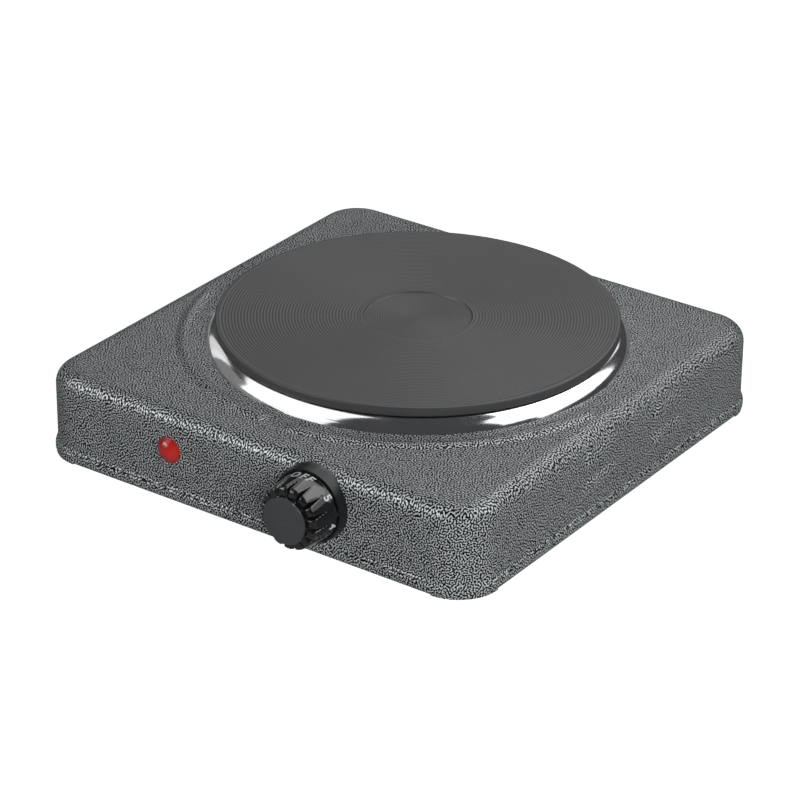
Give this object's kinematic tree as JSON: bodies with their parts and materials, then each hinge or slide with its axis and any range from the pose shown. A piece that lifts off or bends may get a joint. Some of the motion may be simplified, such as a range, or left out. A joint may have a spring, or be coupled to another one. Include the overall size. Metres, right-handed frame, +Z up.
{
  "type": "hot plate burner",
  "caption": "Free-standing electric hot plate: round cast-iron plate on a square pressed-steel housing with side louvres, a turning thermostat dial and a pilot lamp.",
  "frame": {"origin": "on the floor under the feet, in the middle of the overall width and depth", "axes": "+Z up; -Y is the front with the dial and lamp; +X is to the right seen from the front"},
  "size_m": [0.2396, 0.262, 0.0564],
  "materials": {
    "painted_steel": "hammertone enamel, charcoal with silver veins",
    "stainless_ring": "polished stainless steel",
    "cast_iron": "turned in fine concentric grooves, matt black coated",
    "resistance_wire": "wound resistance wire",
    "magnesia": "pressed magnesia, matt",
    "zinc_steel": "zinc plated",
    "bright_sheet": "bright aluminised sheet",
    "nickel_steel": "nickel plated",
    "white_ceramic": "steatite, matt",
    "black_rubber": "matt",
    "black_gloss": "black thermoset, glossy",
    "black_matt": "fine grained",
    "brown_moulding": "phenolic moulding",
    "bimetal": "rolled",
    "brass": "stamped",
    "red_lens": "translucent red, faceted inside",
    "neon_glass": "clear tube",
    "white_insulation": "glass fibre sleeve",
    "brown_insulation": "silicone",
    "blue_insulation": "silicone",
    "green_yellow_insulation": "silicone"
  },
  "bodies": {
    "base": {"housing": "painted_steel", "trim_ring": "stainless_ring", "hot_plate": "cast_iron", "heating_coils": "resistance_wire", "coil_filling": "magnesia", "element_cover": "zinc_steel", "element_terminal": "white_ceramic", "element_pins": "nickel_steel", "centre_stud": "zinc_steel", "mounting_bridge": "zinc_steel", "stud_washer": "zinc_steel", "stud_nuts": "zinc_steel", "heat_shield": "bright_sheet", "bottom_cover": "zinc_steel", "corner_brackets": "zinc_steel", "feet": "black_rubber", "base_screws": "zinc_steel", "knob_bezel": "black_matt", "thermostat_plate": "zinc_steel", "thermostat_body": "brown_moulding", "bimetal_strip": "bimetal", "contact_spring": "brass", "thermostat_terminals": "brass", "thermostat_screws": "zinc_steel", "lamp_lens": "red_lens", "lamp_body": "neon_glass", "lamp_clip": "nickel_steel", "lamp_leads": "white_insulation", "cable_gland": "black_matt", "gland_nut": "black_matt", "terminal_block": "white_ceramic", "terminal_clamps": "brass", "block_screws": "zinc_steel", "earth_screw": "brass", "wire_live": "brown_insulation", "wire_switched": "brown_insulation", "wire_neutral": "blue_insulation", "wire_earth": "green_yellow_insulation"},
    "dial": {"knob": "black_gloss", "knob_cap": "black_matt", "thermostat_shaft": "zinc_steel"}
  },
  "joints": [
    {"name": "dial_turn", "type": "hinge", "parent": "base", "child": "dial", "pos_m": [0.0368, -0.1086, 0.0287], "axis": [0, 1, 0], "range_deg": [0, 306]}
  ]
}
